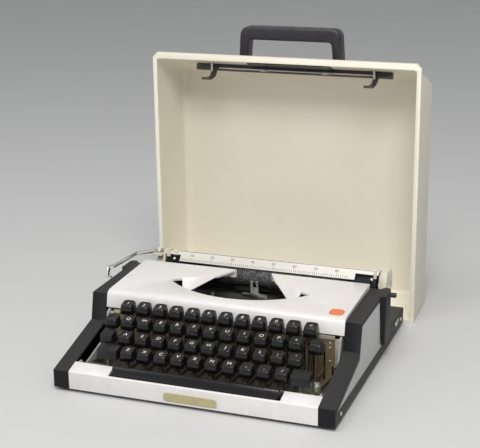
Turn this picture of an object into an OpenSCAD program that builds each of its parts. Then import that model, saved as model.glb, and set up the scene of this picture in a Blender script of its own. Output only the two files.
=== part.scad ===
// Portable typewriter with its own carrying cover standing open behind it.
// Right is the typist's right (+X), back is away from the typist (+Y), up is +Z, in millimetres.
// Inside the modules y = 0 is the face of the front rail; at_origin() moves everything so that the
// origin is the centre of the whole footprint on the table.

/* [Machine body] */
// Width over the two side panels
machine_w = 310; // [306:1:320]
// Thickness of each side panel, from the keyboard well to the outside
side_t = 17.7; // [16:0.1:19]
// Depth from the front rail to the rear of the base
machine_d = 298.5; // [292:0.5:310]
// Height of the rubber feet
foot_h = 4; // [3:0.5:4]
// Thickness of the sheet steel and of the moulded walls
wall = 2.5; // [2:0.1:3]
// Height of the low rear deck
deck_z = 22; // [21:0.5:24]
// Height of the front edge of a side panel
side_front_z = 23.5; // [22:0.5:25]
// Height of a side panel where its slope meets the riser
side_kink_z = 46.7; // [44:0.5:48]
// Height of the flat top of a side panel
side_top_z = 77; // [76:0.5:78]
// How far the rear pillar of a side panel bulges outwards
pillar_bulge = 5; // [4:0.1:5]

/* [Front rail and top cover] */
// Height of the front face of the front rail
rail_front_z = 23.9; // [23:0.1:25]
// Height of the rear edge of the front rail
rail_rear_z = 28.4; // [27:0.1:28.5]
// Depth of the front rail from front to back
rail_d = 16.7; // [16:0.1:16.9]
// Height of the front lower edge of the top cover
cover_low_z = 62; // [61.5:0.5:64]
// Height of the top cover just behind its rounded front edge
cover_front_z = 80.2; // [79:0.2:81]
// Height of the top cover at its rear edge
cover_rear_z = 83; // [82:0.2:83.4]
// Radius of the front edge of the type opening
opening_r = 115; // [112:1:117]

/* [Keyboard] */
// Distance from one key to the next in a row
key_pitch = 19.05; // [19.05:0.05:19.2]
// Width and depth of a key cap at its base
key_base = 15.6; // [14:0.1:15.6]
// Width and depth of a key cap at its top
key_top = 13.4; // [11:0.1:13.8]
// Height of a key cap at its middle
key_h = 11; // [9:0.5:11]
// Distance that a key goes down when it is struck
key_travel = 9; // [6:0.5:9]
// Thickness of the sheet steel of a key lever
lever_t = 1.2; // [1:0.1:1.4]
// Height of the steel strip of a key lever
lever_h = 5; // [4:0.5:5]
// Diameter of the shaft that all key levers turn on
key_shaft_d = 4; // [3.6:0.1:4.2]
// Radial clearance of a running fit
run_fit = 0.05; // [0.03:0.01:0.08]
// Gap between parts that pass each other
gap = 0.5; // [0.3:0.05:0.6]
// Length of the space bar
space_l = 183.5; // [176:0.5:183.5]

/* [Type basket] */
// Number of type bars
bar_count = 44; // [40:1:44]
// Angle of the fan of type bars, in degrees
bar_fan = 100; // [90:1:100]
// Distance from the printing point to the pivots of the type bars
bar_pivot_r = 45; // [44:1:46]
// Distance from the printing point to the type heads at rest
bar_head_r = 98; // [95:1:98]
// How far the basket drops for capitals
shift_drop = 6; // [4:0.5:6]
// Radius of a ribbon spool
spool_r = 24; // [20:0.5:24]

/* [Carriage] */
// Radius of the platen
platen_r = 16; // [15:0.5:16]
// Length of the platen
platen_l = 257.5; // [250:0.5:257.5]
// Height of the platen's axis
platen_z = 72; // [71.5:0.5:72]
// Distance of the platen's axis behind the front rail
platen_y = 229; // [229:0.5:231]
// How far right of the middle the carriage stands
carriage_x = 12.25; // [8:0.25:12.25]
// Radius of the platen's shaft
platen_shaft_r = 4; // [3:0.5:4]
// Radius of the platen knob
knob_r = 11.5; // [10:0.5:12]
// Width of the platen knob
knob_w = 8.2; // [7:0.1:8.2]
// Radius of the feed rollers
feed_r = 5; // [4:0.5:5]
// Height of the paper scale, along its slope
scale_h = 13.5; // [11:0.5:14]
// Reach of the return lever in front of its pivot
return_reach = 75; // [70:1:76]

/* [Carrying cover] */
// Clearance on each side between the shut cover and the machine
lid_side_gap = 1; // [1:0.1:2]
// Clearance between the front rail and the shut cover
lid_front_gap = 4.2; // [4:0.1:6]
// Clearance between the rear of the base and the shut cover
lid_rear_gap = 0.9; // [0.8:0.1:1.2]
// Depth of the cover
lid_d = 86; // [84:1:90]
// Wall of the cover
lid_t = 2.6; // [2:0.1:2.7]
// Width of the thick rim round the opening
lid_rim = 5; // [4.6:0.1:5.4]
// Fall of the slanting front wall over each millimetre of depth
lid_slope = 0.37; // [0.34:0.01:0.4]
// How much the cover narrows on each side towards its back
lid_draft = 2.7; // [1:0.1:3]
// Distance of the open cover's rim behind the base
lid_stand_off = 8.2; // [8:0.1:9]
// Height of the hinge axis
hinge_z = 7; // [7:0.1:7.4]
// Width of the carrying handle
handle_w = 124; // [100:1:130]
// Height of the carrying handle over the cover
handle_rise = 34.8; // [28:0.1:36]

/* [Hidden] */
$fn = 48;
LETTERS = [
    ["key_q", 2, 0], ["key_w", 2, 1], ["key_e", 2, 2], ["key_r", 2, 3], ["key_t", 2, 4],
    ["key_y", 2, 5], ["key_u", 2, 6], ["key_i", 2, 7], ["key_o", 2, 8], ["key_p", 2, 9],
    ["key_a", 3, 0], ["key_s", 3, 1], ["key_d", 3, 2], ["key_f", 3, 3], ["key_g", 3, 4],
    ["key_h", 3, 5], ["key_j", 3, 6], ["key_k", 3, 7], ["key_l", 3, 8],
    ["key_z", 4, 0], ["key_x", 4, 1], ["key_c", 4, 2], ["key_v", 4, 3], ["key_b", 4, 4],
    ["key_n", 4, 5], ["key_m", 4, 6]
];

// Carrying cover and its hinge
lid_bottom = 0.3;
lid_rim_rise = 3.8;
lid_top_rim = 7;
lid_angle = atan(lid_slope);
lid_w = machine_w + 2 * (pillar_bulge + lid_side_gap + lid_rim);
lid_y = machine_d + lid_stand_off;
hinge_y = machine_d + lid_rear_gap + lid_bottom + lid_t - hinge_z;
lid_h = hinge_y + hinge_z + lid_front_gap - lid_bottom - lid_rim_rise + lid_top_rim;
handle_z = lid_bottom + lid_h + handle_rise;
// Body
body_half = machine_w / 2 - side_t;
fit_gap = 0.2;
part_half = body_half - fit_gap;
pan_top = foot_h + 2;
// Key rows, from the digits (1) to the bottom letters (4): place of the first key and height of its top
row_x = [0, -105.4, -96.5, -91.2, -80.3];
row_y = [0, 85.1, 66.2, 47.2, 28.3];
row_z = [0, 74.1, 64.0, 53.9, 45.1];
digit_count = 12;
key_tilt = 12;
cap_corner_r = 0.63;
// The shaft of the key levers, under the rear of the type basket
shaft_y = 196;
shaft_z = 22;
hub_r = 3.6;
lever_front_z = 18;
stem_w = 5;
frame_x = body_half - wall;
frame_t = 2;
// Pivots of the shift frame and of the space bar
shift_y = 120;
shift_z = 9.6;
shift_tube_r = 1.6;
shift_hub_r = 2.7;
shift_arm_x = frame_x - frame_t - 7.8;
space_y = 105;
space_z = 13;
space_pin_r = 2;
space_arm_x = frame_x - frame_t - 2.6;
// Printing point and type basket
print_y = platen_y - platen_r;
bar_pivot_z = 41;
bar_head_z = bar_pivot_z + 15.5;
segment_z = 32;
segment_h = 12;
guide_x = [-45.22, 50.03];
guide_y = 185;
guide_r = 2;
spool_x = 103;
spool_y = 158;
spool_z = 58;
spool_h = 12;
spindle_r = 2.5;
// Carriage
rail_w = 8;
rail_bottom = 30;
rail_top = 40;
beam_bottom = 24;
saddle_top = 44;
platen_left = carriage_x - platen_l / 2;
platen_right = carriage_x + platen_l / 2;
end_t = 2.5;
end_gap = 2.3;
end_cap_t = 6.2;
end_left = platen_left - end_gap - end_t;
end_right = platen_right + end_gap;
feed_z = platen_z - platen_r - feed_r - 0.3;
feed_shaft_r = 1.5;
carriage_rear = 250.5;
bail_y = 240;
bail_z = 84;
bail_pin_r = 1.5;
release_y = 246;
release_z = 47;
return_x = end_left - 6.2;
return_y = 222;
return_z = 87.5;
return_pin_r = 2.5;
// Carrying cover
hinge_pin_r = 2;
hinge_ring_r = 4.2;
lug_x0 = machine_w / 2 - 15;
lug_x1 = lug_x0 + 6;
lid_back_r = 9;
label_t = 0.6;
origin_y = (lid_y + lid_d - label_t) / 2;

// Small helpers
module at_origin() translate([0, -origin_y, 0]) children();
// A profile drawn as (y, z), extruded from x0 to x1
module along_x(x0, x1) translate([x0, 0, 0]) rotate([90, 0, 90]) linear_extrude(x1 - x0) children();
// A round bar along X
module rod(x0, x1, y, z, r) translate([x0, y, z]) rotate([0, 90, 0]) cylinder(h = x1 - x0, r = r);
// A block given by its two corners
module block(a, b) translate(a) cube(b - a);
// The children and their mirror image
module both_sides() {
    children();
    mirror([1, 0, 0]) children();
}
function arc(cx, cy, r, a0, a1, n) = [
    for (i = [0:n]) let (a = a0 + (a1 - a0) * i / n) [cx + r * cos(a), cy + r * sin(a)]
];
function key_x(row, i) = row_x[row] + key_pitch * i;
function press_angle(y) = key_travel / (shaft_y - y) * 180 / PI;

// Side panels
function side_profile(g) = [
    [g, foot_h + g], [g, side_front_z - 0.78 * g], [92 + 0.9 * g, side_kink_z - 0.8 * g],
    [98.7 + 0.8 * g, side_top_z - 0.5 - g], [206 - 0.4 * g, side_top_z - g],
    [212 - g, side_top_z - 6 - 0.4 * g],
    [212 - g, deck_z - g], [machine_d - g, deck_z - g], [machine_d - g, foot_h + g]
];
inlay_profile = [
    [4, 17.5], [92.2, side_kink_z - 8.5], [101.5, side_top_z - 4],
    [177, side_top_z - 4], [183, 27], [214, 15]
];
inlay_depth = 1.2;
pillar_y0 = 181;
pillar_y1 = 212;
pillar_r = 5;
module pillar_plan() {
    out = machine_w / 2 + pillar_bulge;
    for (y = [pillar_y0 + pillar_r, pillar_y1 - pillar_r]) translate([out - pillar_r, y]) circle(pillar_r);
    deep = pillar_y1 - pillar_y0;
    translate([out - pillar_r - 3, pillar_y0]) square([3, deep]);
    translate([out - pillar_r - 3, pillar_y0 + pillar_r]) square([3 + pillar_r, deep - 2 * pillar_r]);
}
module side_panel() {
    outside = machine_w / 2;
    difference() {
        union() {
            difference() {
                along_x(body_half, outside) polygon(side_profile(0));
                along_x(body_half - 1, outside - wall) polygon(side_profile(wall));
            }
            translate([0, 0, deck_z - 2]) linear_extrude(side_top_z - deck_z + 2) pillar_plan();
            for (x = [[body_half, lug_x0 - gap], [lug_x1 + gap, lug_x1 + gap + 3.5]])
                block([x[0], hinge_y - 6, foot_h], [x[1], machine_d, foot_h + 8]);
        }
        along_x(outside - inlay_depth, outside + 1) polygon(inlay_profile);
        // Notch in which the lug of the carrying cover turns
        block([lug_x0 - gap, hinge_y - 5, foot_h - 1], [lug_x1 + gap, machine_d + 1, hinge_z + 13.2]);
    }
    rod(body_half + 0.7, lug_x1 + 3.5, hinge_y, hinge_z, hinge_pin_r);
}
module side_panel_right() { color("#3a3a3e") side_panel(); }
module side_panel_left() { color("#3a3a3e") mirror([1, 0, 0]) side_panel(); }
module side_inlays() {
    x = machine_w / 2 - inlay_depth;
    color("#9c9b96") both_sides() along_x(x, x + inlay_depth - 0.2) polygon(inlay_profile);
}

// Base
deck_y0 = carriage_rear + 1.5;
module base_pan() {
    color("#333338") {
        block([-part_half, wall + 0.3, foot_h], [part_half, machine_d, pan_top]);
        block([-part_half, machine_d - 2, pan_top], [part_half, machine_d, deck_z]);
        block([-part_half, deck_y0, deck_z - 2], [part_half, machine_d - 2, deck_z]);
        block([-part_half, deck_y0, pan_top], [part_half, deck_y0 + 2, deck_z - 2]);
    }
}
foot_r = 8;
foot_x = machine_w / 2 - 35;
foot_y0 = 25;
foot_y1 = machine_d - 23.5;
module rubber_feet() {
    color("#1c1c1c") for (x = [-foot_x, foot_x], y = [foot_y0, foot_y1])
        translate([x, y, 0]) cylinder(h = foot_h, r = foot_r);
}

// Front rail
space_x0 = -space_l / 2 + 2.75;
space_x1 = space_l / 2 + 2.75;
module rail_profile() polygon([
    [0, foot_h], [0, rail_front_z - 1], [1, rail_front_z + 0.2], [rail_d, rail_rear_z],
    [rail_d, rail_rear_z - wall], [wall, rail_front_z - wall], [wall, foot_h]
]);
module front_rail() {
    color("#ece7e6") {
        difference() {
            along_x(-part_half, part_half) rail_profile();
            block([space_x0 - 3, wall, rail_front_z - wall - 1], [space_x1 + 3, rail_d + 1, rail_rear_z + 1]);
            block([space_x0 - 3, -1, rail_front_z], [space_x1 + 3, wall + 1, rail_rear_z + 1]);
        }
        both_sides() along_x(part_half - wall, part_half) polygon([
            [wall, foot_h + 2.2], [wall, rail_front_z - wall],
            [rail_d, rail_rear_z - wall], [rail_d, foot_h + 2.2]
        ]);
    }
}

// Top cover
cover_y0 = 95.5;
cover_y1 = 202;
cover_bend_y = 104.5;
cover_grade = (cover_rear_z - cover_front_z) / (cover_y1 - cover_bend_y);
cover_tilt = atan(cover_grade);
function cover_top(y) = cover_front_z + cover_grade * (y - cover_bend_y);
opening_y = 231;
tip_x = 83;
tip_y = opening_y - sqrt(opening_r * opening_r - tip_x * tip_x);
facet_x = 34.5;
facet_y = 177;
rear_gap_x = 20.7;
facet_slope = 43;
facet_t = 1.6;
module cover_profile() polygon([
    [cover_y0, cover_low_z], [98.2, cover_front_z - 4.5],
    [100.2, cover_front_z - 1.6], [cover_bend_y, cover_front_z],
    [cover_y1, cover_rear_z], [cover_y1, cover_rear_z - 9], [cover_y1 - wall, cover_rear_z - 9],
    [cover_y1 - wall, cover_rear_z - wall], [cover_bend_y + 0.8, cover_front_z - wall],
    [102, cover_front_z - 3.8], [100.7, cover_front_z - 6], [cover_y0 + wall, cover_low_z]
]);
module cover_opening() {
    a = asin(tip_x / opening_r);
    polygon(concat(
        arc(0, opening_y, opening_r, -90 - a, -90 + a, 24),
        [[facet_x, facet_y], [rear_gap_x, cover_y1 + 1], [-rear_gap_x, cover_y1 + 1], [-facet_x, facet_y]]
    ));
}
module cover_facet() {
    run = [facet_x - tip_x, facet_y - tip_y];
    length = norm(run);
    // Along the right edge of the opening, from the inner corner out to the tip, sloping down to the front
    translate([facet_x, facet_y, cover_top(facet_y) - 0.2]) rotate([0, 0, atan2(-run[1], -run[0])])
        rotate([facet_slope, 0, 0]) translate([0, 0, -facet_t]) linear_extrude(facet_t)
            polygon([[0, 0.4], [length - 13.5, 0.4], [length - 12.5, -19], [length - 25, -14.6]]);
}
module top_cover() {
    color("#eeeae8") {
        difference() {
            union() {
                along_x(-part_half, part_half) cover_profile();
                // Ribs along both ends, under the top
                both_sides() along_x(part_half - 2.2, part_half) polygon([
                    [98.4, 72], [101.5, cover_front_z - 3], [cover_y1 - wall, cover_rear_z - wall + 0.5],
                    [cover_y1 - wall, cover_rear_z - 9], [110, 72]
                ]);
            }
            translate([0, 0, cover_rear_z - 12]) linear_extrude(20) cover_opening();
        }
        both_sides() cover_facet();
    }
}

// Blank badge on the cover and blank plate on the front rail
module trim_plates() {
    badge = 17;
    badge_r = 5;
    color("#e8703c") translate([124, 113, cover_top(113)]) rotate([cover_tilt, 0, 0]) linear_extrude(0.9) {
        square([badge, badge - 2 * badge_r], center = true);
        square([badge - 2 * badge_r, badge], center = true);
        for (x = [-1, 1], y = [-1, 1]) translate([x, y] * (badge / 2 - badge_r)) circle(badge_r);
    }
    color("#cbc78f") block([-28.7, -label_t, 5.6], [30.7, 0, 16.6]);
}

// Inner steel frame
ledge_z = 27.6;
frame_in = frame_x - frame_t - 0.1;
module main_frame() {
    color("#8d8a80") {
        both_sides() difference() {
            along_x(frame_x - frame_t, frame_x) polygon([
                [17.2, pan_top], [17.2, ledge_z], [24, ledge_z], [30, 19], [84, 33], [91, 58], [110, 66],
                [198, 66], [206, rail_bottom], [242, rail_bottom], [242, pan_top]
            ]);
            rod(frame_x - 5, frame_x + 5, shaft_y, shaft_z, key_shaft_d / 2);
            rod(frame_x - 5, frame_x + 5, shift_y, shift_z, shift_tube_r + run_fit);
        }
        // Front flange of each side plate, beside the comb
        both_sides() block([comb_half + 0.6, comb_y - 1.7, arm_slot_top], [frame_in, comb_y - 0.2, 58]);
        // Crossbeam under the carriage rail, and the strap across the pan
        block([-frame_in, 224, beam_bottom], [frame_in, 238, rail_bottom]);
        block([-frame_in, 100, pan_top], [frame_in, 106, pan_top + 1.5]);
        // Catches behind the rail for the toes of the cover's hooks
        for (x = hooks_x) {
            block([x - 17.5, rail_d + 0.5, pan_top], [x - 14.5, rail_d + 2.7, ledge_z]);
            block([x - 17.5, rail_d + 0.5, ledge_z - 2], [x - 8.6, rail_d + 2.7, ledge_z]);
        }
        // Pivot pins of the space bar
        both_sides() rod(space_arm_x - 1.8, frame_in, space_y, space_z, space_pin_r);
        // Guide rods of the type basket, standing on the pan
        for (x = guide_x) translate([x, guide_y, pan_top]) cylinder(h = 52, r = guide_r);
        // Guide post of the ribbon vibrator, in front of the crossbeam
        block([-4, 205, 27], [4, 208, 48]);
        block([-4, 207, 27], [4, 223.9, rail_bottom]);
        // Spool plates and spindles
        both_sides() {
            block([82, 147, 53], [frame_in, 169, 55.5]);
            translate([spool_x, spool_y, 55]) cylinder(h = spool_z + spool_h - 56, r = spindle_r);
        }
    }
}

// Slotted plate that keeps the key levers apart, with its top edge folded forward
comb_y = 95;
comb_t = 1.2;
comb_half = 127.2;
comb_top = 60.5;
comb_fold = 1.5;
comb_slot_half = lever_t / 2 + gap;
comb_slot_top = 50;
arm_slot_top = 26;
lock_x = -119;
backspace_x = 115.9;
lever_places = concat(
    [for (i = [0:digit_count - 1]) key_x(1, i)], [for (i = [-1:10]) key_x(2, i)],
    [for (i = [0:10]) key_x(3, i)], [for (i = [0:9]) key_x(4, i)], [backspace_x]
);
module comb_slot(x, top) block([x - comb_slot_half, comb_y - 1, 8.5], [x + comb_slot_half, comb_y + 3, top]);
module key_comb() {
    color("#8a6a44") difference() {
        union() {
            block([-comb_half, comb_y, pan_top], [comb_half, comb_y + comb_t, comb_top]);
            block([-comb_half, comb_y - comb_fold, comb_top - 3.5], [comb_half, comb_y + comb_t, comb_top]);
        }
        for (x = lever_places) comb_slot(x, comb_slot_top);
        for (x = [lock_x, -shift_arm_x, shift_arm_x]) comb_slot(x, arm_slot_top);
    }
}
module key_shaft() { color("#b9b6ae") rod(-frame_x - 1, frame_x + 1, shaft_y, shaft_z, key_shaft_d / 2); }

// Keys
// A tapered cap on a base at height z; its top leans towards the typist
module key_cap(x, y, z, w = key_base) {
    top_w = w - (key_base - key_top);
    lean = key_top / 2 * tan(key_tilt);
    base_half = key_base / 2;
    top_half = key_top / 2;
    translate([x, y, z]) intersection() {
        along_x(-w / 2, w / 2) polygon([
            [-base_half, 0], [-top_half, key_h - lean], [top_half, key_h + lean], [base_half, 0]
        ]);
        translate([0, key_base, 0]) rotate([90, 0, 0]) linear_extrude(2 * key_base) polygon([
            [-w / 2, 0], [-top_w / 2, key_h], [-top_w / 2 + 0.3, key_h + 2],
            [top_w / 2 - 0.3, key_h + 2], [top_w / 2, key_h], [w / 2, 0]
        ]);
        if (w == key_base)
            cylinder(h = key_h + 2, r1 = key_base * cap_corner_r, r2 = key_top * cap_corner_r - 0.2);
    }
}
// A key lever in its own plane, with its hub, bore and stem
module lever_plan(y, stem_top) {
    front = y - stem_w / 2;
    difference() {
        union() {
            translate([shaft_y, shaft_z]) circle(hub_r);
            polygon([
                [shaft_y, shaft_z - lever_h / 2], [front, lever_front_z],
                [front, lever_front_z + lever_h], [shaft_y, shaft_z + lever_h / 2]
            ]);
            translate([front, lever_front_z]) square([stem_w, stem_top - lever_front_z]);
        }
        translate([shaft_y, shaft_z]) circle(key_shaft_d / 2 + run_fit);
    }
}
module key_at(x, row) {
    cap_z = row_z[row] - key_h;
    color("#222222") key_cap(x, row_y[row], cap_z);
    color("#6b675d") along_x(x - lever_t / 2, x + lever_t / 2) lever_plan(row_y[row], cap_z + 1);
}
module key(row, i) key_at(key_x(row, i), row);
module figure_keys() {
    for (i = [0:digit_count - 1]) key(1, i);
    key(2, 10);
    for (i = [9, 10]) key(3, i);
    for (i = [7:9]) key(4, i);
}
module backspace_key() { key_at(backspace_x, 2); }
module margin_release_key() { key_at(key_x(2, -1), 2); }

// Space bar with its bracket and two arms
module space_bar() {
    color("#27272a") intersection() {
        along_x(space_x0, space_x1)
            polygon([[4, 16], [4, 24.5], [6.4, 31.8], [7.4, 33], [10.5, 33], [11.5, 32], [11.5, 16]]);
        linear_extrude(40) polygon(rounded(
            [[space_x0, 4], [space_x1, 4], [space_x1, 11.5], [space_x0, 11.5]], [3.5, 3.5, 1, 1]));
    }
    color("#85827a") {
        block([-space_arm_x - lever_t / 2, 6, 14.5], [space_arm_x + lever_t / 2, 14, 16]);
        both_sides() along_x(space_arm_x - lever_t / 2, space_arm_x + lever_t / 2) difference() {
            union() {
                polygon([
                    [6, 14.5], [6, 18], [14, 18], [space_y, space_z + 2.5],
                    [space_y, space_z - 2.5], [14, 13.2]
                ]);
                translate([space_y, space_z]) circle(4);
            }
            translate([space_y, space_z]) circle(space_pin_r + run_fit);
        }
    }
}

// Shift: two wide keys on one frame that turns on a tube
shift_cap_z = 33;
shift_cap_y = 29.8;
shift_caps = [[-103, 24], [111.2, 22]];
stop_r = 4;
module shift_arm_plan(bore_r) {
    difference() {
        union() {
            translate([shift_y, shift_z]) circle(shift_hub_r);
            polygon([[shift_y, shift_z - 2], [23, 20], [23, 25], [30, 25], [shift_y, shift_z + 2]]);
        }
        if (bore_r > 0) translate([shift_y, shift_z]) circle(bore_r);
    }
}
module shift_keys() {
    color("#222222") for (c = shift_caps) key_cap(c[0], shift_cap_y, shift_cap_z, c[1]);
    color("#6b675d") {
        rod(-frame_x - 0.8, frame_x + 0.8, shift_y, shift_z, shift_tube_r);
        both_sides() along_x(shift_arm_x - lever_t / 2, shift_arm_x + lever_t / 2) shift_arm_plan(0);
        for (c = shift_caps) {
            out = sign(c[0]) * shift_arm_x;
            block([min(c[0] - 2, out), 23, 20], [max(c[0] + 2, out), 28, 25]);
            block([c[0] - 2, 24, 25], [c[0] + 2, 28, shift_cap_z + 1]);
        }
        // Round stop on the right arm
        translate([shift_arm_x - 0.5, 38, 19]) {
            cylinder(h = 11, r = stop_r);
            cylinder(h = 13, r = stop_r - 1);
        }
    }
}
module shift_lock() {
    cap_z = row_z[3] - key_h;
    color("#222222") key_cap(lock_x + 7, row_y[3], cap_z);
    color("#6b675d") {
        along_x(lock_x - lever_t / 2, lock_x + lever_t / 2) difference() {
            union() {
                translate([shift_y, shift_z]) circle(shift_hub_r);
                polygon([[shift_y, shift_z - 2], [44.7, 28], [44.7, 33], [51, 33], [shift_y, shift_z + 2]]);
            }
            translate([shift_y, shift_z]) circle(shift_tube_r + run_fit);
        }
        block([lock_x - lever_t / 2, 44.7, 29], [lock_x + 9, 49.7, 33]);
        block([lock_x + 5, 44.7, 33], [lock_x + 9, 49.7, cap_z + 1]);
    }
}

// Type basket
module fan(i)
    translate([0, print_y, 0]) rotate([0, 0, -bar_fan / 2 + bar_fan * i / (bar_count - 1)]) children();
module type_segment() {
    half = bar_fan / 2 + 4;
    reach = 80;
    wedge = reach * tan(half);
    ear_x = 33;
    segment_top = segment_z + segment_h + 1;
    color("#77746c") difference() {
        union() {
            difference() {
                translate([0, print_y, segment_z]) intersection() {
                    cylinder(h = segment_h, r = bar_pivot_r + 7);
                    linear_extrude(segment_h) polygon([[0, 0], [-wedge, -reach], [wedge, -reach]]);
                }
                translate([0, print_y, segment_z - 1]) cylinder(h = segment_h + 2, r = bar_pivot_r - 7);
            }
            // Ears that slide on the guide rods
            for (x = guide_x) let (inner = sign(x) * ear_x, y = [guide_y - 6, guide_y + 6])
                block([min(x - 5, inner), y[0], segment_z], [max(x + 5, inner), y[1], segment_z + 4]);
        }
        for (i = [0:bar_count - 1]) fan(i)
            block([-0.7, -bar_pivot_r - 9, bar_pivot_z - 3.5], [0.7, -bar_pivot_r + 3.5, segment_top]);
        for (x = guide_x) translate([x, guide_y, segment_z])
            cylinder(h = segment_h + 1, r = guide_r + run_fit);
    }
}
module type_bars() {
    root = bar_pivot_r - 2.5;
    tip = bar_head_r - 2;
    color("#a8a59c") for (i = [0:bar_count - 1]) fan(i) {
        along_x(-0.5, 0.5) polygon([
            [-root, bar_pivot_z - 2.5], [-root - 5, bar_pivot_z - 2.5], [-tip, bar_head_z - 2],
            [-tip, bar_head_z + 1], [-root, bar_pivot_z + 2.5]
        ]);
        block([-1.5, -bar_head_r - 3, bar_head_z - 3], [1.5, -bar_head_r + 3, bar_head_z + 5]);
    }
}

// Ribbon vibrator, with its two hooks in front of the printing point
vibrator_y = 203;
vibrator_t = 1.5;
module ribbon_vibrator() {
    color("#a5a39d") upright_plate() {
        translate([-15, 50]) square([30, 5]);
        translate([-5, 30]) square([10, 33]);
        // Two fingers with lips, between which the ribbon runs
        for (m = [0, 1]) mirror([m, 0]) translate([2.4, 61]) {
            square([2.6, 9.5]);
            translate([-1.2, 8]) square([3.8, 1.5]);
        }
    }
}
module upright_plate()
    translate([0, vibrator_y + vibrator_t, 0]) rotate([90, 0, 0]) linear_extrude(vibrator_t) children();

module ribbon_spool(x) {
    color("#c9c6bd") translate([x, spool_y, spool_z]) difference() {
        union() {
            cylinder(h = 1, r = spool_r);
            cylinder(h = spool_h, r = 8);
            translate([0, 0, 1]) cylinder(h = spool_h - 2, r = spool_r - 5);
            translate([0, 0, spool_h - 1]) cylinder(h = 1, r = spool_r);
        }
        translate([0, 0, -1]) cylinder(h = spool_h + 2, r = spindle_r + run_fit);
    }
}
module ribbon_spool_left() { ribbon_spool(-spool_x); }
module ribbon_spool_right() { ribbon_spool(spool_x); }

// Carriage
rail_y = platen_y + 2;
rail_half = 130;
module carriage_rail() {
    color("#b9b6ae")
        block([-rail_half, rail_y - rail_w / 2, rail_bottom], [rail_half, rail_y + rail_w / 2, rail_top]);
}
end_bottom = saddle_top - 3;
module end_plan() difference() {
    polygon([
        [216, end_bottom], [216, 75], [221, 88], [244, 88], [carriage_rear, 76], [carriage_rear, end_bottom]
    ]);
    translate([platen_y, platen_z]) circle(platen_shaft_r + run_fit);
    translate([platen_y, feed_z]) circle(feed_shaft_r + run_fit);
    translate([bail_y, bail_z]) circle(bail_pin_r + run_fit);
    translate([release_y, release_z]) circle(bail_pin_r + run_fit);
}
module carriage_frame() {
    slot = rail_w / 2 + 0.3;
    inner0 = end_left + end_t;
    color("#9b988f") {
        along_x(end_left, inner0) end_plan();
        along_x(end_right, end_right + end_t) end_plan();
        // Saddle over the rail, with a wall behind the platen
        along_x(inner0, end_right) polygon([
            [rail_y - 9, 34], [rail_y - slot, 34], [rail_y - slot, rail_top + 0.3],
            [rail_y + slot, rail_top + 0.3], [rail_y + slot, 34], [rail_y + 9, 34],
            [rail_y + 9, end_bottom], [carriage_rear, end_bottom], [carriage_rear, 66],
            [carriage_rear - 2, 66], [carriage_rear - 2, saddle_top], [rail_y - 9, saddle_top]
        ]);
        // Plastic cap over the right end plate
        along_x(end_right + end_t, end_right + end_t + end_cap_t) difference() {
            polygon([[216, 66], [216, 77], [221, 91], [244, 89], [248, 80], [248, 66]]);
            translate([platen_y, platen_z]) circle(platen_shaft_r + 0.3);
        }
        // Bracket and pin of the return lever
        block([return_x - 5, return_y - 7, return_z - 2.5], [end_left, return_y + 7, return_z - 0.3]);
        translate([return_x, return_y, return_z - 0.3]) cylinder(h = 5.6, r = return_pin_r);
    }
}
module paper_table() {
    r = platen_r + 1.2;
    color("#55524c") along_x(platen_left + 3, platen_right - 3) difference() {
        intersection() {
            translate([platen_y, platen_z]) circle(r + 1);
            translate([platen_y, platen_z]) polygon([[0, 0], [25, -22], [40, -10], [40, 10], [25, 15]]);
        }
        translate([platen_y, platen_z]) circle(r);
    }
}
module platen() {
    color("#2b2a2c") difference() {
        rod(platen_left, platen_right, platen_y, platen_z, platen_r);
        rod(platen_left - 1, platen_right + 1, platen_y, platen_z, platen_shaft_r);
    }
}
ratchet_teeth = 24;
ratchet_r = 10;
// The shaft of the platen with the knob at its left end and the ratchet wheel of the line spacing
module platen_knob() {
    left = end_left - 0.4 - knob_w;
    color("#b9b59a") {
        rod(left, end_right + end_t + end_cap_t - 1, platen_y, platen_z, platen_shaft_r);
        rod(left, left + knob_w, platen_y, platen_z, knob_r);
        along_x(platen_left - 1.6, platen_left - 0.4) translate([platen_y, platen_z]) polygon([
            for (i = [0:2 * ratchet_teeth - 1])
                let (a = 180 / ratchet_teeth * i, r = i % 2 == 0 ? ratchet_r : ratchet_r - 1.4)
                [r * cos(a), r * sin(a)]
        ]);
    }
}
module feed_roller() {
    roller_l = 26;
    roller_count = 4;
    color("#3b3a3a") {
        rod(end_left + 0.3, end_right + end_t - 0.3, platen_y, feed_z, feed_shaft_r);
        for (i = [0:roller_count - 1]) let (x = platen_left + platen_l * (i + 0.5) / roller_count)
            rod(x - roller_l / 2, x + roller_l / 2, platen_y, feed_z, feed_r);
    }
}

// Paper scale: a sloping plate on a rod with an arm at each end
module paper_scale() {
    low = [213, 81.4];
    dir = [sin(41), cos(41)];
    side = [-cos(41), sin(41)];
    high = low + dir * scale_h;
    middle = high - dir * 5.5;
    left = platen_left - 1.8;
    right = platen_right + 0.6;
    color("#efebe4") {
        along_x(-97.5, 116.5) polygon([low, high, high + side * 1.5, low + side * 1.5]);
        // The upper edge runs on to the arms on both sides
        along_x(left, right + 1.2) polygon([middle, high, high + side * 1.5, middle + side * 1.5]);
        for (x = [left, right]) along_x(x, x + 1.2) {
            polygon([high + [-1, 1], [bail_y, bail_z + 2.5], [bail_y, bail_z - 2.5], high - [1, 1.5]]);
            translate([bail_y, bail_z]) circle(3);
        }
        rod(end_left + 0.3, left, bail_y, bail_z, bail_pin_r);
        rod(right, end_right + end_t - 0.3, bail_y, bail_z, bail_pin_r);
    }
}

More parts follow.
